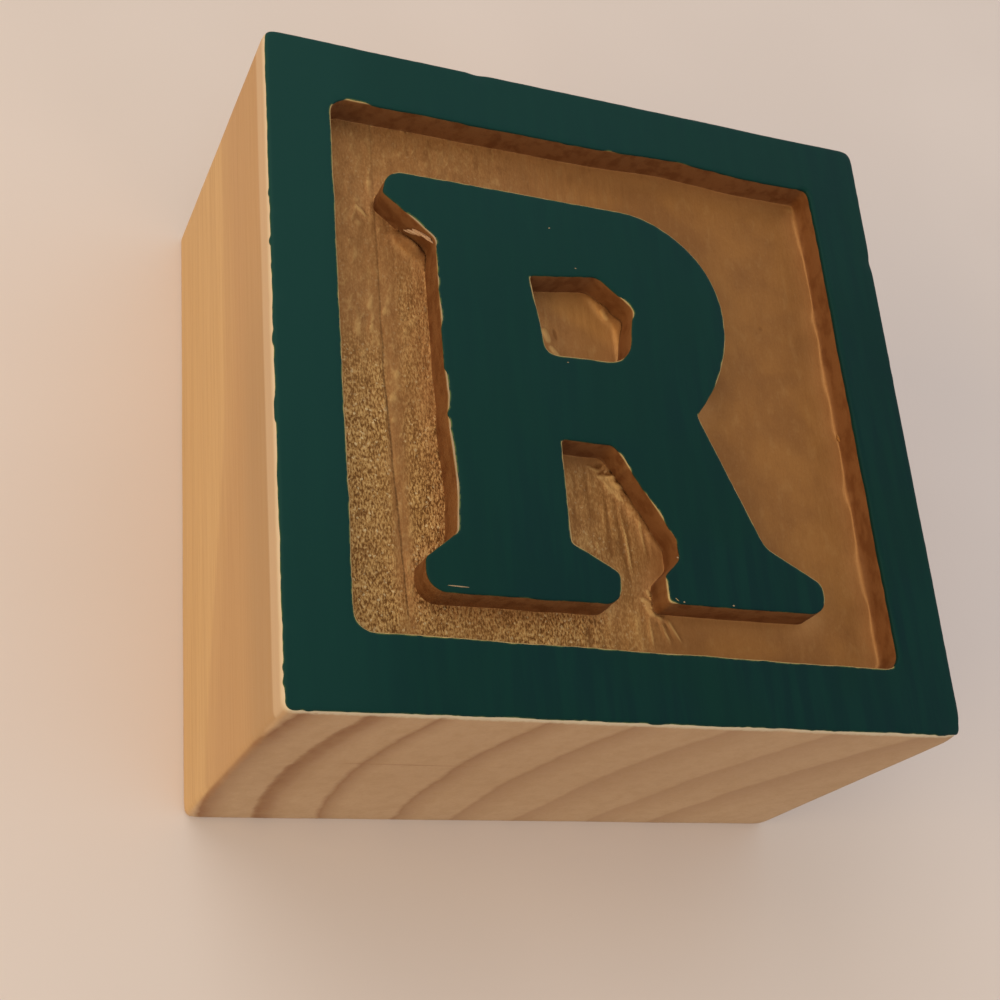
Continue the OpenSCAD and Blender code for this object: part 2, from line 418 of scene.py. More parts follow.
class Wire:
    """An output of a shader node that can be reckoned with. Each sign adds a Math node."""

    def __init__(self, node, output=0):
        self.socket = node.outputs[output]
        self.tree = node.id_data

    def worked(self, operation, *others):
        """Output of a Math node for this value and others."""
        return Wire(put(self.tree, "ShaderNodeMath", enumerate((self, *others)), operation=operation))

    __add__ = partialmethod(worked, "ADD")
    __sub__ = partialmethod(worked, "SUBTRACT")
    __mul__ = partialmethod(worked, "MULTIPLY")
    __truediv__ = partialmethod(worked, "DIVIDE")
    __abs__ = partialmethod(worked, "ABSOLUTE")
    or_less = partialmethod(worked, "MINIMUM")
    or_more = partialmethod(worked, "MAXIMUM")

    def eased(self, start, end, low=0, high=1):
        """Goes from low to high as this value goes from start to end, slow at both ends."""
        inputs = {"Value": self, "From Min": start, "From Max": end, "To Min": low, "To Max": high}
        return Wire(put(self.tree, "ShaderNodeMapRange", inputs, interpolation_type="SMOOTHSTEP"))

    def between(self, first, second, blend="MIX"):
        """Colour that goes from the first to the second as this share goes from 0 to 1."""
        inputs = {0: self, 6: first, 7: second}
        return Wire(put(self.tree, "ShaderNodeMix", inputs, data_type="RGBA", blend_type=blend), 2)

    def layered(self, *layers):
        """This colour under layers of others, each with its share, its colour and perhaps its blend."""
        colour = self
        for share, shade, *blend in layers:
            colour = share.between(colour, shade, *blend)
        return colour

    def axes(self):
        """The three parts of a place or a colour."""
        node = put(self.tree, "ShaderNodeSeparateXYZ", {0: self})
        return [Wire(node, axis) for axis in range(3)]

    def scaled(self, scale):
        """This place times one scale, or times one for each axis."""
        return Wire(put(self.tree, "ShaderNodeMapping", {"Vector": self, "Scale": np.ones(3) * scale}))

    def noise(self, scale, detail=2, roughness=0.5):
        """Soft noise at this place times a scale."""
        inputs = {"Vector": self.scaled(scale), "Scale": 1, "Detail": detail, "Roughness": roughness}
        return Wire(put(self.tree, "ShaderNodeTexNoise", inputs))

    def bumps(self, strength, depth):
        """Normals of the bumps that this height makes."""
        inputs = {"Height": self, "Strength": strength, "Distance": depth * MM}
        return Wire(put(self.tree, "ShaderNodeBump", inputs))


def new_material(name, sockets):
    """A material, its Principled BSDF, whose plain values are set on its own sockets, and the place on the
    object in millimetres."""
    material = bpy.data.materials.new(name)
    material.use_nodes = True
    shader = material.node_tree.nodes["Principled BSDF"]
    for label, value in sockets.items():
        shader.inputs[label].default_value = value
    return material, shader, Wire(put(material.node_tree, "ShaderNodeTexCoord"), "Object").scaled(1 / MM)


def feed(shader, *wires):
    """Gives a Principled BSDF its colour and, where they are given, its roughness and its normals."""
    for socket, wire in zip(("Base Color", "Roughness", "Normal"), wires):
        wire.tree.links.new(wire.socket, shader.inputs[socket])


def tint(red, green, blue):
    """Linear colour of a screen colour from 0 to 255: ((c + 0.055) / 1.055) to the power 2.4."""
    return tuple(((value / 255 + 0.055) / 1.055) ** 2.4 for value in (red, green, blue)) + (1,)


# Years of growth across the end of the block: place of the late wood's sharp side at half the board's
# thickness, its darkness, how wide it stays dark, and the width over which it fades away
years = [
    (-35.3, 1.0, 1.0, 3.4),
    (-29.5, 1.0, 1.5, 3.8),
    (-22.8, 0.8, 0.6, 2.4),
    (-13.4, 0.7, 0.7, 3.4),
    (-5.6, 0.55, 0.9, 4.4),
    (3.4, 0.42, 1.4, 6.0),
    (13.8, 0.36, 1.6, 6.0),
    (22.8, 0.4, 1.8, 6.6),
]
ring_reach = 40
early_wood = tint(190, 152, 113)
late_wood = tint(144, 97, 60)
golden_wood = tint(187, 147, 101)
brown_wood = tint(173, 132, 91)
tan_wood = tint(172, 133, 90)
fibre_wood = tint(158, 118, 78)
pore_wood = tint(150, 106, 66)
pale_fuzz_highlight = tint(206, 184, 150)
pale_strip = tint(191, 160, 130)
dull_inner_wood = tint(160, 128, 92)
torn_wood = tint(176, 128, 88)
# Factors that darken the end towards the lettered face, and the left side near that face towards the foot
# end, there a little cooler
end_dimming = (0.89, 0.86, 0.82, 1)
side_dimming = (0.87, 0.89, 0.92, 1)


def late_wood_at(place):
    """Darkness of the late wood at a place in the board. The rings are bent sheets across the width:
    place = across - (0.14 + 0.007 a) lift - (0.0042 - 0.00009 a) lift², where the lift is the height
    above half the board's thickness and a is the way across but at least -20. A ramp holds one sharp
    rise, a dark stretch and one slow fall for each year. A ramp takes 32 stops, so there are two."""
    across, along, high = place.axes()
    drift = place.noise((0.09, 0.012, 0.12), 1)
    ripple = place.noise((0.35, 0.03, 0.5), 3, 0.6)
    across = across + (drift * 1.4 - 0.7) + (ripple * 0.9 - 0.45)
    lift = high - face_height / 2
    kept = across.or_more(-20)
    bent = ((kept * -0.00009 + 0.0042) * lift + (kept * 0.007 + 0.14)) * lift
    share = (across - bent + ring_reach) / (2 * ring_reach)
    ramps = []
    for first in (0, 4):
        ramp = put(place.tree, "ShaderNodeValToRGB", {"Fac": share})
        stops = ramp.color_ramp.elements
        for sharp, dark, dark_width, fade in years[first:first + 4]:
            shades = [(-0.2, 0), (0.25, dark), (dark_width, 0.7 * dark), (0.6 * fade, 0.3 * dark), (fade, 0)]
            for beyond, shade in shades:
                stops.new((sharp + beyond + ring_reach) / (2 * ring_reach)).color = (shade, shade, shade, 1)
        stops.remove(stops[-1])
        stops.remove(stops[0])
        ramps.append(Wire(ramp))
    return ramps[0].or_more(ramps[1])


def bare_pine():
    """Sanded bare pine: early wood with bent rings, long fibres, a browner band with an uneven border along
    the left side, one saw line, sanded edges made paler by their raised fibres and by a painted highlight,
    and fine pores."""
    material, shader, place = new_material("bare_pine", {"IOR": 1.45, "Specular IOR Level": 0.25})
    across, along, high = place.axes()
    facing_across, facing_along, facing_up = Wire(put(place.tree, "ShaderNodeTexCoord"), "Normal").axes()
    rings = late_wood_at(place)
    end_grain = abs(facing_along).eased(0.5, 0.9)
    left_side = facing_across.eased(-0.5, -0.9)
    fibres = place.noise((2.4, 0.05, 2.4), 4, 0.6)
    broad = place.noise((0.6, 0.02, 0.6))
    pores = place.noise((5.5, 0.4, 5.5), 2, 0.6)
    wander = place.noise((0.1, 0.035, 0.1))
    over_border = high - (along.eased(9, -36, 20.4, 10.6) + (wander * 2.4 - 1.2))
    side = over_border.eased(-0.5, 0.9).between(golden_wood, brown_wood)
    saw_line = abs(high - 22.3).eased(0.28, 0.05) * abs(across + 17).eased(10, 6) * end_grain
    # Paler sanded edges: partly their raised fibres, partly a painted highlight where the edges catch the
    # light
    fuzz_and_highlight = (high + (fibres * 0.9 - 0.45)).eased(36.9, 37.65) * facing_up.eased(0.98, 0.9)
    inside_rim = abs(across).or_more(abs(along)).eased(31, 30)
    colour = rings.between(early_wood, late_wood).layered(
        (left_side, side.layered((over_border.eased(5.5, 2.0, 0, 0.35), golden_wood))),
        (broad.eased(0.4, 0.7, 0, 0.28), tan_wood),
        (end_grain * high.eased(3, 19, 0.25, 1), end_dimming, "MULTIPLY"),
        (high.eased(24, 31) * along.eased(18, -6) * left_side, side_dimming, "MULTIPLY"),
        (fibres.eased(0.4, 0.78) * (end_grain * -0.2 + 0.34), fibre_wood),
        (pores.eased(0.55, 0.8, 0, 0.2), pore_wood),
        (saw_line * wander.eased(0.35, 0.6, 0.1, 0.5), late_wood),
        (fuzz_and_highlight * 0.8, pale_fuzz_highlight),
        # Bare wood inside the rim, duller at the top of the carved edges and warmer below
        (inside_rim, high.eased(37.85, 37.65).between(dull_inner_wood, torn_wood)),
        (high.eased(34.7, 35.2, 0, 0.6) * left_side, pale_strip),
    )
    height = fibres * 0.6 + rings * 0.12 + pores * 0.3
    feed(shader, colour, fibres * 0.2 + 0.52, height.bumps(strength=0.35, depth=0.06))
    return material


pine = bare_pine()
block.data.materials.append(pine)
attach(block, "root")
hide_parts("wood_block")


# The gold coats
# Metallic paint brushed into the routed ground first: over its floor, up its walls and into the
# letter's eye. It dries with brush ridges, and it stands rough where the cutter left the wood torn.

gold_thickness = 0.08
gold_top_thickness = 0.04
gold_thinnest = 0.01
foot_light_reach = 1.5


def from_line(places, start, end):
    """Share of the way along a line, and distance from it, for each place in the plan."""
    way = np.subtract(end, start)
    offset = places[:, :2] - start
    share = np.clip(offset @ way / (way ** 2).sum(), 0, 1)
    return share, np.hypot(*(offset - share[:, None] * way).T)


def stretches_along(wall, *stretches, seed):
    """A width at each point of a wall. Each stretch has two ends and a width. It is full between its ends,
    eased to nothing 1.8 mm away and uneven by noise, and the widest stretch counts."""
    widths = []
    for start, end, width in stretches:
        share, away = from_line(wall.walk, start, end)
        uneven = 0.85 + 0.4 * soft_noise(wall.walk, 1.5, seed) + 0.25 * soft_noise(wall.walk, 0.6, seed + 1)
        widths.append(width * (1 - ease(away, 0.18, 1.8)) * uneven)
        seed += 7
    return np.maximum.reduce(widths)


# Bare wood along the letter's edges, where the green coat was sanded or torn away
letter_bare = stretches_along(
    letter_wall,
    ((-18.1, -2.2), (-18.0, -4.2), 0.1),
    ((-18.0, -7.2), (-17.8, -10.9), 0.1),
    ((-17.8, -12.4), (-17.8, -16.6), 0.17),
    ((-18.1, 11.9), (-18.1, 4.7), 0.05),
    ((-20.2, 15.4), (-18.4, 13.8), 0.08),
    ((-6.5, -16.2), (-6.4, -17.6), 0.06),
    seed=101,
)
eye_bare = stretches_along(eye_wall, ((-8.2, 10.0), (-8.1, 9.2), 0.05), seed=151)
# Gold that ran over an edge onto the level top, before the green was brushed up to it
letter_bleed = stretches_along(
    letter_wall,
    ((-0.1, -8.3), (0.2, -8.8), 0.07),
    ((2.3, -12.3), (3.0, -13.5), 0.08),
    ((4.5, -16.0), (4.7, -16.4), 0.04),
    ((3.05, -21.5), (3.0, -22.4), 0.1),
    seed=141,
)
eye_bleed = stretches_along(eye_wall, ((2.6, 9.4), (2.8, 9.0), 0.14), seed=171)
rim_bleed = stretches_along(
    recess_wall,
    ((-25.6, 28.2), (-25.2, 28.2), 0.12),
    ((2.8, 28.3), (3.0, 28.4), 0.035),
    ((11.0, 28.9), (11.2, 28.8), 0.03),
    seed=201,
)

# Lumps and pits in the gold: place, width and height
gold_spots = [
    ((20.5, 11.0), 0.35, -0.06),
    ((27.0, 27.4), 0.55, 0.08),
    ((19.9, 10.4), 0.25, -0.04),
    ((-2.2, -15.7), 0.25, -0.08),
    ((0.4, -15.2), 0.22, -0.06),
    ((-26.4, -15.3), 0.3, -0.08),
    ((-13.2, 27.2), 0.3, 0.05),
    ((-12.5, 27.0), 0.35, 0.06),
    ((-11.8, 26.7), 0.3, 0.04),
    ((14.4, -26.5), 0.25, 0.04),
    ((24.8, -23.6), 0.3, 0.04),
]
# Ridges and scores that single bristles left: two ends, width and height
gold_ridges = [
    ((0.5, -12.4), (1.3, -20.9), 0.13, 0.15),
    ((0.15, -12.9), (0.95, -20.6), 0.13, -0.09),
    ((-3.2, -9.4), (-3.0, -13.6), 0.15, 0.08),
    ((-1.9, -8.4), (1.9, -12.4), 0.18, 0.13),
    ((0.6, -8.6), (3.2, -11.9), 0.17, 0.13),
    ((0.2, -9.1), (2.8, -12.3), 0.15, -0.1),
    ((2.3, -12.6), (3.0, -17.8), 0.15, 0.1),
    ((-4.2, -10.8), (-4.0, -14.4), 0.14, 0.08),
    ((-5.2, -12.0), (-5.1, -17.0), 0.15, -0.07),
    ((-2.6, -14.0), (-2.1, -19.2), 0.13, 0.06),
    ((-1.0, -11.5), (-0.8, -17.8), 0.13, -0.06),
    ((3.3, -14.4), (3.6, -17.6), 0.13, 0.08),
    ((-25.0, 18.1), (-23.9, 16.8), 0.18, 0.17),
    ((-5.9, 7.3), (-5.2, 5.3), 0.34, 0.15),
    ((-5.4, 5.3), (-4.2, 3.7), 0.3, 0.13),
    ((-4.6, 7.4), (-4.3, 5.6), 0.22, -0.1),
    ((0.7, 10.3), (1.7, 8.9), 0.26, 0.16),
    ((3.2, -22.7), (4.4, -26.2), 0.16, 0.12),
    ((3.6, -22.6), (4.9, -26.0), 0.14, -0.09),
    ((4.2, -23.2), (5.8, -26.2), 0.16, 0.11),
    ((2.3, -23.2), (2.5, -26.6), 0.15, 0.1),
    ((0.9, -22.6), (0.8, -26.6), 0.15, 0.07),
    ((1.6, -21.4), (3.2, -22.4), 0.24, 0.24),
    ((1.9, -22.3), (3.3, -23.2), 0.2, 0.2),
    ((3.0, -23.0), (4.2, -23.7), 0.2, 0.18),
    ((2.4, -20.4), (3.0, -21.6), 0.22, 0.2),
    ((-2.7, -7.9), (-0.4, -8.6), 0.16, 0.16),
    ((-1.6, -8.9), (0.9, -9.0), 0.17, 0.24),
    ((-1.5, -8.45), (0.8, -8.55), 0.16, -0.22),
    ((-0.4, -9.6), (1.6, -10.3), 0.18, 0.18),
    ((0.0, -9.2), (1.3, -9.7), 0.13, -0.16),
]
# Wood that the cutter didn't reach, at the foot of the walls under the upper serif, in the eye and along
# the leg's inner side: two ends, width and height
left_standing = [
    ((-21.6, 15.6), (-17.0, 12.0), 0.7, 0.8),
    ((-0.6, 12.4), (3.7, 7.6), 0.65, 0.5),
    ((3.0, 10.2), (3.0, 3.4), 0.6, 0.38),
    ((-1.2, -6.6), (5.2, -17.0), 0.6, 0.4),
]
# The groove that the cutter's last pass left along the left side of the floor: its place across, where it
# bends, and how far it leans from there on
groove_place = -23.08
groove_bend = -0.7
groove_lean = 0.04


def ridge_at(places, start, end, width, height):
    """A ridge in the plan that tapers to both ends: its height times e to the minus squared distance to the
    line over its width, times 1 - (2t - 1)² at the share t of the way along."""
    share, away = from_line(places, start, end)
    return height * np.exp(-(away / width) ** 2) * (1 - (2 * share - 1) ** 2)


def torn_ground(places):
    """Share from 0 to 1 of the ground that the cutter left rough: left of the groove, beside the upright's
    lower half, below the letter, and a little everywhere else on the left."""
    across, up = places[:, 0], places[:, 1]
    left = ease(-across, 22.6, 23.4) * ease(-up, -6, 3) * (0.35 + 0.65 * ease(across, -28.2, -26.6))
    low_down = 0.4 * ease(-up, -13, -9) + 0.6 * ease(-up, 2, 7)
    beside = ease(-across, 16, 18) * ease(across, -22, -20.6) * low_down
    below = 0.9 * ease(-up, 23.0, 24.0) * ease(-across, -2, 5) * ease(across, -22.5, -20.5)
    corner = 0.6 * ease(-across, 20, 24) * ease(-up, 18, 22)
    between = 0.4 * ease(-up, 7, 9) * ease(across, -6.5, -5) * ease(-across, -5, 0)
    patchy = 0.85 + 0.3 * soft_noise(places, 3.3, 31)
    everywhere = 0.02 + 0.12 * ease(-across, 2, 14)
    return np.clip(np.maximum.reduce([left, beside, below, corner, between]) * patchy + everywhere, 0, 1)


def gold_relief(places):
    """Height of the gold above its mean: grain of a third of a millimetre on torn ground, brush ridges along
    the strokes, soft pools elsewhere, one groove with a ridge beside it, folds at the leg's two ends,
    flecks and creases that the bristles left, and the spots and ridges above."""
    across, up = places[:, 0], places[:, 1]
    unrolled = places[:, :2] + places[:, 2:] * np.array([0.83, -0.61])
    leaning = unrolled @ np.array([[1, 0.3], [-0.3, 1]])
    swept = unrolled @ np.array([[0.8, -0.6], [0.6, 0.8]])
    folded = unrolled @ np.array([[0.6, 0.8], [-0.8, 0.6]])
    torn = torn_ground(places)
    right = ease(across, 2, 12)
    grain = soft_noise(unrolled, (0.36, 0.5), 41) + 0.6 * soft_noise(unrolled, (0.62, 1.1), 43)
    height = 0.036 * torn * grain + 0.02 * soft_noise(unrolled, (0.45, 4.2), 47) * (1 - right)
    height += 0.008 * soft_noise(swept, (4.6, 0.9), 53) * right + 0.012 * soft_noise(unrolled, 2.2, 59)
    bristled = ease(-across, 9, 17) * (1 - 0.7 * torn)
    flecks = soft_noise(leaning, (0.38, 1.3), 71)
    height += bristled * (0.09 * np.maximum(flecks - 0.3, 0) - 0.05 * np.maximum(-0.4 - flecks, 0))
    height += 0.045 * bristled * np.maximum(1 - 4 * np.abs(soft_noise(leaning, (0.95, 2.6), 73)), 0)
    line = groove_place + groove_lean * np.maximum(groove_bend - up, 0)
    lengthwise = ease(-up, -24, -19) * ease(up, -26.5, -24)
    height -= 0.05 * np.exp(-((across - line) / 0.12) ** 2) * lengthwise
    height += 0.025 * np.exp(-((across - line - 0.9) / 0.6) ** 2) * lengthwise
    wrinkled = hump(places, (0.3, -8.3), (1.9, 1.3)) + hump(places, (3.6, -22.9), (1.1, 1.2), 0.8)
    height += 0.14 * wrinkled * (0.95 - 2.4 * np.abs(soft_noise(folded, (0.5, 1.6), 61)))
    ledge = ease(across, -7, -5) * ease(-across, -4, 0) * ease(-up, 7, 10)
    height += 0.06 * ledge * soft_noise(unrolled, (0.36, 3.4), 67)
    lumpy = ease(-across, 16, 19) * ease(up, -14, -4)
    height += 0.022 * lumpy * soft_noise(unrolled, (0.55, 1.7), 69)
    for spot in gold_spots:
        height += hump(places, *spot)
    for ridge in gold_ridges:
        height += ridge_at(places, *ridge)
    return height


def dried_coat(name, film, back, rims, thickness, feather, marks=()):
    """A closed film of paint. Its outer side stands off the skin called film by the thickness, times the
    root of 1 - (1 - d)², where d is the distance to the film's edge over the feather, up to 1. The skin
    called back closes it underneath, and a narrow side joins the two along every free edge, whose
    points are given as pairs of rows."""
    edge_height = 0.006
    under_height = 0.002
    to_edge = gap_to(film.places, np.vstack([film.places[row] for row, back_row in rims]))
    share = np.clip(to_edge / feather, 0, 1)
    height = thickness * np.sqrt(1 - (1 - share) ** 2) + edge_height
    outer = worn(film.places, film.normals) + film.normals * height[:, None]
    under = worn(back.places, back.normals) + back.normals * under_height
    count = len(outer)
    corners = [film.corners, back.corners[:, ::-1] + count]
    for row, back_row in rims:
        corners.append(quads(row, back_row + count, following(back_row) + count, following(row)))
    marks = [("to_edge", to_edge)] + list(marks)
    padded = [(mark, np.concatenate([values, np.zeros(len(under))])) for mark, values in marks]
    return new_piece(name, np.vstack([outer, under]), np.vstack(corners), padded)


def turned_away(wall):
    """Share from 0 to 1 of a wall that faces up and to the right. There the cutter lifted the wood, the gold
    reached the level top and the green stopped short of the edge."""
    return ease(wall.outward @ np.array([0.69, 0.73]), 0.0, 0.35)


def gold_coat(name, walls, pitch):
    """Gold over the ground between carved walls. Each wall comes with the run at which its coat starts. The
    coat is marked for painted light within 1.5 mm of the foot of a wall that isn't turned away, to lighten
    the shadow that the wall casts there, and its floor is lifted where wood was left standing, which is
    marked as a part of the wall, so that its slopes take a little of the walls' painted shade."""
    film, back = Skin(), Skin()
    tops, feet, facing_feet = [], [], []
    for wall, start in walls:
        arris, wall_end, hollow_end = wall.joints[1:]
        marks = [start, np.maximum(start + 0.12, 1.2 * arris), wall_end, hollow_end]
        ends = zip(film.band(wall, marks, (5, 7, 4)), back.band(wall, marks, (1, 1, 2)))
        for rows, pair in zip((tops, feet), ends):
            rows.append(pair)
        facing_feet.append(film.places[feet[-1][0]][turned_away(wall) < 0.5])
    film.ground([foot for foot, back_foot in feet], pitch)
    back.ground([back_foot for foot, back_foot in feet], pitch=1.6)
    relief = gold_relief(film.places)
    standing = 1 - np.abs(film.normals[:, 2])
    near_top = ease(film.places[:, 2], face_height - 0.5, face_height)
    thickness = (gold_thickness + relief * (1 - 0.5 * standing)) * (1 - near_top)
    thickness = np.maximum(thickness + gold_top_thickness * near_top, gold_thinnest)
    # Painted light: a share that lightens the gold near the feet of walls that aren't turned away, where
    # they cast shadow
    painted_foot_light = np.exp(-(gap_to(film.places, np.vstack(facing_feet)) / foot_light_reach) ** 2) * (standing < 0.5)
    swell = sum(ridge_at(film.places, *ridge) for ridge in left_standing)
    swell *= (1 - standing) * (1 + 0.35 * soft_noise(film.places, 0.8, 75))
    swell[film.places[:, 2] > face_height - recess_depth / 2] = 0
    film.places[:, 2] += swell
    painted_foot_light *= 1 - ease(swell, 0.05, 0.3)
    # Slopes of standing wood are marked to take a little of the walls' painted shade
    like_wall = np.maximum(standing, 0.22 * ease(swell, 0.08, 0.4))
    marks = [("torn", torn_ground(film.places)), ("relief", relief), ("wall", like_wall), ("painted_foot_light", painted_foot_light)]
    return dried_coat(name, film, back, tops, thickness, feather=0.12, marks=marks)


def gold_start(wall, bare, bleed, seed):
    """Where the gold starts on a wall: just over the arris, lower where wood is bare, and out on the level
    top where it ran over."""
    over = 0.07 + 0.05 * soft_noise(wall.walk, 0.8, seed) - 0.1 * turned_away(wall)
    return over + bare - 1.25 * bleed


recess_start = gold_start(recess_wall, 0, rim_bleed, seed=71)
letter_start = gold_start(letter_wall, 0.35 * letter_bare, letter_bleed, seed=73)
eye_start = gold_start(eye_wall, 0.35 * eye_bare, eye_bleed, seed=79)
recess_gold = gold_coat(
    "gold_recess_paint", [(recess_wall, recess_start), (letter_wall, letter_start)], pitch=0.24
)
eye_gold = gold_coat("gold_eye_paint", [(eye_wall, eye_start)], pitch=0.2)


def brushed_streaks():
    """Group for brushed paint: long thin streaks along the strokes, whose width and length are given, and
    the fine skin between them."""
    tree = bpy.data.node_groups.new("brushed_streaks", "ShaderNodeTree")
    for label, kind in (("Place", "Vector"), ("Width", "Float"), ("Length", "Float")):
        tree.interface.new_socket(label, in_out="INPUT", socket_type="NodeSocket" + kind)
    for label in ("Streaks", "Skin"):
        tree.interface.new_socket(label, in_out="OUTPUT", socket_type="NodeSocketFloat")
    given = tree.nodes.new("NodeGroupInput")
    place, width, length = (Wire(given, label) for label in ("Place", "Width", "Length"))
    across, along, deep = place.axes()
    parts = {0: across / width, 1: along / length, 2: deep / width}
    streaks = Wire(put(tree, "ShaderNodeCombineXYZ", parts)).noise(1, 3, 0.6)
    put(tree, "NodeGroupOutput", {"Streaks": streaks, "Skin": place.noise(3.2, 3, 0.55)})
    return tree


streaks_group = brushed_streaks()


def brushed(place, width, length):
    """The streaks and the skin of brushed paint, from their group."""
    inputs = {"Place": place, "Width": width, "Length": length}
    node = put(place.tree, "ShaderNodeGroup", inputs, node_tree=streaks_group)
    return Wire(node, "Streaks"), Wire(node, "Skin")


def pebbled(place):
    """Paint over torn wood: grains a fifth of a millimetre wide and twice as long along the grain, made of
    noise upon noise. Returns their height, the gaps between them, which take painted shade, and their tops,
    which take a painted highlight."""
    height = place.noise((5.4, 2.5, 5.4), 2, 0.6) + (place.noise((0.9, 0.6, 0.9)) * 0.24 - 0.12)
    return height * 2.2 - 0.6, height.eased(0.5, 0.4), height.eased(0.52, 0.63)


def mark_on(place, mark):
    """A mark that the mesh carries on its points."""
    return Wire(put(place.tree, "ShaderNodeAttribute", attribute_name=mark), "Fac")


dark_binder = tint(138, 88, 43)
binder = tint(152, 99, 48)
left_gold = tint(159, 107, 61)
torn_gold = tint(172, 124, 64)
foot_light_gold = tint(182, 125, 70)
patch_brown = tint(122, 74, 35)
patch_gold = tint(182, 134, 78)
streak_brown = tint(122, 75, 33)
streak_gold = tint(190, 142, 80)
pit_shade_brown = tint(108, 66, 26)
grain_highlight_gold = tint(218, 172, 106)
painted_glint_gold = tint(240, 206, 148)
hollow_shade_brown = tint(112, 66, 26)
ridge_highlight_gold = tint(208, 160, 94)
lit_gold = tint(204, 140, 68)
shaded_wall_gold = tint(135, 86, 48)
shaded_wall_brown = tint(118, 70, 36)
arris_highlight_gold = tint(196, 166, 108)
groove_brown = tint(86, 54, 24)


def gold_paint():
    """Metallic flake paint: a warm brown binder with brush streaks, lightened near the feet of the walls as
    painted light and made darker and redder on the walls as painted shade. Painted highlights make it light
    on its grains, ridges and arris and painted shade makes it dark in its pits and hollows, most of all on
    torn ground, with a painted sheen round the eye and a few painted glints."""
    sockets = {"Metallic": 0.5, "IOR": 1.45, "Specular IOR Level": 0.15}
    material, shader, place = new_material("gold_paint", sockets)
    torn, relief, wall, painted_foot_light = (mark_on(place, mark) for mark in ("torn", "relief", "wall", "painted_foot_light"))
    across, along, high = place.axes()
    streaks, skin = brushed(place, 0.45, 3.0)
    grains, valleys, tops = pebbled(place)
    glint_cells = put(place.tree, "ShaderNodeTexVoronoi", {"Vector": place, "Scale": 5.0, "Randomness": 1.0})
    glint = Wire(glint_cells, "Color").axes()[0].eased(0.95, 0.99)
    patches = place.noise((0.8, 0.45, 0.8), 3)
    left = across.eased(6, -10)
    patchy = left * 0.28 + 0.14
    streaky = left * 0.26 + 0.06
    eye_middle = (-1.0, 8.5, 35.0)
    from_middle = put(place.tree, "ShaderNodeVectorMath", {0: place, 1: eye_middle}, operation="DISTANCE")
    lit = Wire(from_middle, "Value").eased(6, 3) * (along * 2 + across).eased(12, 16, 0, 0.32)
    line = (along - groove_bend).or_less(0) * -groove_lean + groove_place
    beside = abs(across - line + (place.noise(0.3) * 0.24 - 0.12))
    groove = beside.eased(0.15, 0.03) * skin.eased(0.3, 0.6, 0.35, 0.8) * along.eased(20, -4, 0.35, 0.85)
    colour = place.noise(0.16).eased(0.35, 0.65).between(dark_binder, binder).layered(
        (left * 0.5, left_gold),
        (torn * 0.8, torn_gold),
        # Painted light near the feet of the walls
        (painted_foot_light * 0.9, foot_light_gold),
        (patches.eased(0.52, 0.72) * patchy, patch_brown),
        (patches.eased(0.46, 0.28) * patchy, patch_gold),
        (streaks.eased(0.52, 0.75) * streaky, streak_brown),
        (streaks.eased(0.45, 0.25) * streaky, streak_gold),
        # Painted shade in the pits between the grains and a painted highlight on their tops
        (valleys * (torn * 0.85 + 0.05), pit_shade_brown),
        (tops * (torn * 0.6), grain_highlight_gold),
        # Painted glints, a few bright specks
        (glint * (torn * 0.45 + 0.01), painted_glint_gold),
        # Painted shade in the low hollows of the relief and a painted highlight on its ridges
        (relief.eased(-0.015, -0.07, 0, 0.65), hollow_shade_brown),
        (relief.eased(0.025, 0.09, 0, 0.5), ridge_highlight_gold),
        (lit, lit_gold),
        # Painted shade on the walls and in the hollows at their feet, darker and redder
        (wall.eased(0.04, 0.42, 0, 0.92), patches.eased(0.42, 0.66).between(shaded_wall_gold, shaded_wall_brown)),
        # Painted highlight along the arris
        (high.eased(37.9, 38.0, 0, 0.55), arris_highlight_gold),
        (groove * along.eased(-26.5, -24) * high.eased(35.4, 35.2), groove_brown),
    )
    roughness = skin * 0.3 + 0.36 + wall.eased(0.02, 0.3, 0, 0.3)
    height = grains * (torn * 0.9 + 0.05) + streaks * 0.35
    feed(shader, colour, roughness, height.bumps(strength=0.7, depth=0.09))
    return material


gold = gold_paint()
for coat, node in ((recess_gold, "gold_recess_coat"), (eye_gold, "gold_eye_coat")):
    coat.data.materials.append(gold)
    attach(coat, "root")
    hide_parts(node)


# The green coats
# Satin paint laid on last, on the rim and on the letter's top. It rolls a little way over the carved
# edges and half round the sanded outer ones, where it ends in a ragged line.

green_thickness = 0.075
least_strip = 0.03
carved_run = carved_round * QUARTER


def green_relief(places):
    """Height of the green above its mean: shallow brush ridges along the block and soft unevenness."""
    strokes = soft_noise(places, (0.5, 9), 81) * 0.006 + soft_noise(places, (1.6, 14), 83) * 0.008
    return strokes + 0.006 * soft_noise(places, 1.3, 89)


def green_coat(name, walls, pitch):
    """Green between closed walls. Each wall comes with the run at which the level ground gives way to it,
    the run at which the coat ends, and the count of steps between."""
    skin = Skin()
    rows = [skin.band(wall, [start, end], [count]) for wall, start, end, count in walls]
    skin.ground([top for top, last in rows], pitch)
    thickness = green_thickness + green_relief(skin.places)
    return dried_coat(name, skin, skin, [(last, last) for top, last in rows], thickness, feather=0.2)


def short_end(wall, seed):
    """Where the green ends on a wall that is turned away."""
    return 0.05 + 0.03 * soft_noise(wall.walk, 0.8, seed)


def letter_edge(wall, bare, seed):
    """Where the green starts over a carved edge and where it ends, pulled back where the wood is bare."""
    full = carved_run * 1.05 + (0.05 + 0.05 * soft_noise(wall.walk, 0.9, seed))
    end = full + (short_end(wall, seed + 2) - full) * turned_away(wall)
    return -bare, end + (least_strip - bare - end) * ease(bare, 0, 0.07)


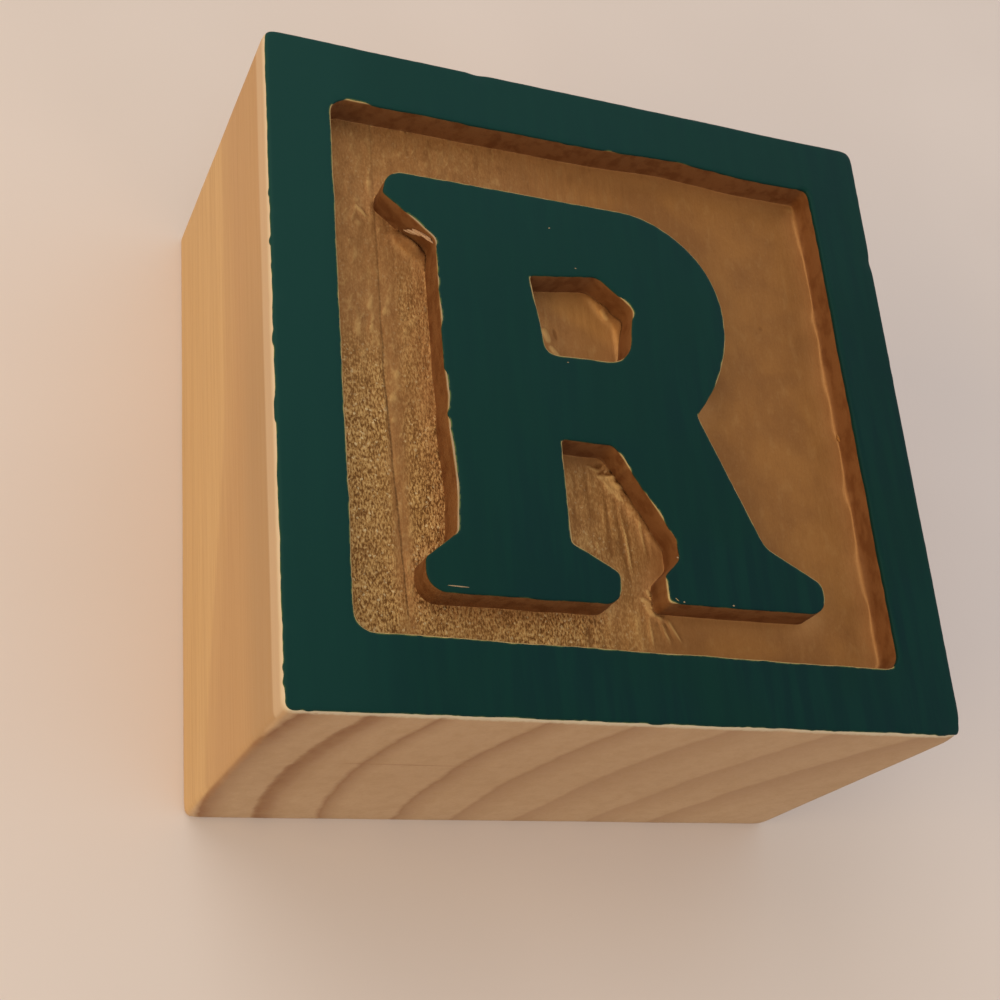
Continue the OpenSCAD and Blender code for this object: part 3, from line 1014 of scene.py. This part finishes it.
edge_wall = sanded_wall(0.2)
chipped = hump(edge_wall.walk, (34.2, -34.5), 3) + hump(edge_wall.walk, (-34.2, -34.5), math.sqrt(3))
edge_end = sanded_round * QUARTER * 0.56 + (
    0.06 * soft_noise(edge_wall.walk, 3.4, 93)
    + 0.035 * soft_noise(edge_wall.walk, 0.55, 95)
    + 0.45 * np.maximum(soft_noise(edge_wall.walk, 1.3, 91) - 0.35, 0)
    + chipped * (0.16 + 0.3 * soft_noise(edge_wall.walk, 0.6, 97))
)
right_side = ease(recess_wall.walk[:, 0], 26, 27)
rim_start = -np.maximum(rim_bleed - least_strip, 0)
rim_end = carved_run * 1.1 + (0.1 + 0.07 * soft_noise(recess_wall.walk, 1.1, 99) + 0.3 * right_side)
rim_end += (short_end(recess_wall, 98) - rim_end) * turned_away(recess_wall)
rim_end += (rim_start + least_strip - rim_end) * ease(rim_bleed, 0, 0.08)
rim_green = green_coat(
    "green_rim_paint",
    [(edge_wall, 0, np.maximum(edge_end, 0.08), 6), (recess_wall, rim_start, rim_end, 4)],
    pitch=0.42,
)
letter_ends = letter_edge(letter_wall, np.maximum(letter_bare, letter_bleed - 0.02), seed=103)
eye_ends = letter_edge(eye_wall, np.maximum(eye_bare, eye_bleed - 0.02), seed=107)
letter_green = green_coat(
    "green_letter_paint", [(letter_wall, *letter_ends, 3), (eye_wall, *eye_ends, 3)], pitch=0.36
)


bluish_green = tint(2, 36, 33)
fresh_green = tint(4, 42, 35)
leafy_green = tint(3, 41, 31)
sheen_green = tint(16, 54, 46)
olive_green = tint(78, 92, 48)


def green_paint():
    """Satin dark green: faint bluish and greenish streaks along the brush, a painted sheen that makes it
    paler towards the upper left and along the left side, and an olive tone within a sixth of a millimetre of
    a free edge, where the coat is thin."""
    material, shader, place = new_material("green_paint", {"IOR": 1.5, "Specular IOR Level": 0.08})
    across, along, high = place.axes()
    streaks, skin = brushed(place, 1.4, 16.0)
    thin = mark_on(place, "to_edge").eased(0.16, 0.02) * place.noise(1.7).eased(0.35, 0.6)
    colour = streaks.eased(0.38, 0.66).between(bluish_green, fresh_green).layered(
        (place.noise(0.09).eased(0.4, 0.65, 0, 0.5), leafy_green),
        # Painted sheen, paler towards the upper left and along the left side
        (across.eased(-22, -30) * 0.3 + (along - across).eased(-45, 62) * 0.75, sheen_green),
        (thin, olive_green),
    )
    height = streaks * 0.5 + skin * 0.3
    feed(shader, colour, skin * 0.16 + 0.4, height.bumps(strength=0.3, depth=0.05))
    return material


green = green_paint()
for coat, node in ((rim_green, "green_rim_coat"), (letter_green, "green_letter_coat")):
    coat.data.materials.append(green)
    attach(coat, "root")
    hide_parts(node)


# Splinters and specks
# Below the upper serif the cutter tore the wood, and a few splinters stand off the wall there. Crumbs of
# sawdust dried into the green, and drops of gold at its edge and along the walls.


def splinter(skin, start, end, width, thickness, seed):
    """Adds a rough spindle between two places. Across its length it is an ellipse of the given width and
    thickness times the square root of the sine of the way along, and every fibre round it stands out
    or in by up to a third, with a fifth more noise along it."""
    fibres, rings = 16, 19
    start, way = np.array(start), np.subtract(end, start)
    along = way / np.linalg.norm(way)
    sideways = np.cross((0, 0, 1), along)
    sideways /= np.linalg.norm(sideways)
    upward = np.cross(along, sideways)
    shares = np.linspace(0.02, 0.98, rings)
    turns = np.arange(fibres) * 2 * math.pi / fibres
    chance = np.random.default_rng(seed)
    rough = 1 + 0.33 * chance.uniform(-1, 1, (1, fibres)) + 0.2 * chance.uniform(-1, 1, (rings, fibres))
    swell = (np.sqrt(np.sin(shares * math.pi))[:, None] * rough)[:, :, None]
    middle = start + way * shares[:, None]
    ring = np.cos(turns)[:, None] * sideways * width / 2 + np.sin(turns)[:, None] * upward * thickness / 2
    places = middle[:, None] + ring * swell
    rows = skin.add(places.reshape(-1, 3)).reshape(rings, fibres)
    first_tip, last_tip = skin.add(np.stack([start, end]))
    beside = following(rows, axis=1)
    caps = [
        np.stack([np.full(fibres, first_tip), beside[0], rows[0]], axis=1),
        np.stack([np.full(fibres, last_tip), rows[-1], beside[-1]], axis=1),
    ]
    skin.corners = np.vstack([skin.corners, quads(rows[:-1], beside[:-1], beside[1:], rows[1:])] + caps)


def scattered(name, material, splinters):
    """One piece out of several splinters, each with its two ends, width and thickness."""
    skin = Skin()
    for seed, (start, end, width, thickness) in enumerate(splinters):
        splinter(skin, start, end, width, thickness, seed)
    piece = new_piece(name, skin.places, skin.corners)
    piece.data.materials.append(material)
    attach(piece, "root")


scattered("torn_fibres", pine, [
    ((-20.35, 15.2, 36.4), (-18.9, 14.0, 37.4), 0.34, 0.26),
    ((-20.0, 15.0, 36.9), (-18.4, 13.55, 37.7), 0.36, 0.24),
    ((-19.5, 14.4, 37.35), (-18.15, 13.15, 37.7), 0.26, 0.2),
    ((-20.6, 15.3, 36.1), (-19.5, 14.5, 36.7), 0.24, 0.2),
])
scattered("sawdust_crumbs", pine, [
    ((-5.6, 17.0, 38.07), (-5.4, 17.07, 38.07), 0.11, 0.05),
    ((-3.1, 12.7, 38.07), (-2.92, 12.66, 38.07), 0.1, 0.05),
    ((-5.1, 1.6, 38.07), (-4.92, 1.64, 38.07), 0.1, 0.05),
    ((4.4, -18.2, 38.07), (4.6, -18.25, 38.07), 0.16, 0.06),
    ((4.5, -22.75, 38.07), (4.68, -22.8, 38.07), 0.13, 0.05),
    ((9.9, -22.75, 38.07), (10.12, -22.8, 38.07), 0.12, 0.05),
    # The long last one is a pale line along the foot serif's edge, partly a scratch and partly a stand-in
    # for the highlight on the paint's ridge
    ((-19.4, -22.84, 38.065), (-17.3, -22.9, 38.065), 0.1, 0.04),
])
scattered("gold_drops", gold, [
    ((3.6, -22.3, 38.02), (4.1, -22.75, 38.03), 0.2, 0.08),
    ((-2.7, -19.4, 35.4), (-2.3, -19.9, 36.0), 0.3, 0.3),
    ((28.0, -0.9, 35.15), (28.2, -1.8, 35.2), 0.5, 0.3),
])


# The studio
# A plain pale floor of paper under soft light, with the camera close above the block's lower left corner.
# The places of the lamps and the camera are in metres.

floor_reach = 1500
floor_corners = np.array([(-1, -1, 0), (1, -1, 0), (1, 1, 0), (-1, 1, 0)]) * floor_reach
window_place = (-0.35, 0.5, 0.75)
glow_place = (-0.6, -0.15, 0.25)
camera_place = (-0.0692, -0.0727, 0.1586)
camera_turn = (23.98, -23.06, -5.107)


def soft_box(name, place, target_height, size, power, colour):
    """A square area lamp that faces a point over the block's middle."""
    lamp = bpy.data.lights.new(name, "AREA")
    lamp.shape = "SQUARE"
    lamp.size = size
    lamp.energy = power
    lamp.color = colour
    light = in_scene(name, lamp)
    light.location = place
    across, along, down = -place[0], -place[1], place[2] - target_height
    tip = math.atan2(math.hypot(across, along), down)
    light.rotation_euler = (tip, 0, math.atan2(along, across) - QUARTER)


floor = new_piece("studio_floor", floor_corners, np.array([(0, 1, 2), (0, 2, 3)]))
paper, shader, place = new_material("floor_paper", {"Roughness": 0.7, "Specular IOR Level": 0.2})
feed(shader, place.noise(0.02).eased(0.3, 0.7).between(tint(214, 193, 177), tint(218, 197, 181)))
floor.data.materials.append(paper)

soft_box("window_light", window_place, target_height=0.03, size=0.7, power=1.95, colour=(1.0, 1.0, 1.0))
soft_box("left_glow", glow_place, target_height=0.02, size=0.5, power=2.46, colour=(1.0, 0.777, 0.318))

world = bpy.data.worlds.new("studio")
bpy.context.scene.world = world
world.use_nodes = True
sky = world.node_tree.nodes["Background"]
sky.inputs["Color"].default_value = (0.82, 0.895, 1.0, 1)
sky.inputs["Strength"].default_value = 0.85

camera = bpy.data.cameras.new("camera")
camera.lens = 56.76
camera.sensor_width = 36
camera.shift_x = -0.0116
camera.shift_y = 0.0531
camera.clip_start = 0.005
viewer = in_scene("camera", camera)
viewer.location = camera_place
viewer.rotation_euler = [math.radians(turn) for turn in camera_turn]
bpy.context.scene.camera = viewer
bpy.context.scene.view_settings.view_transform = "Standard"
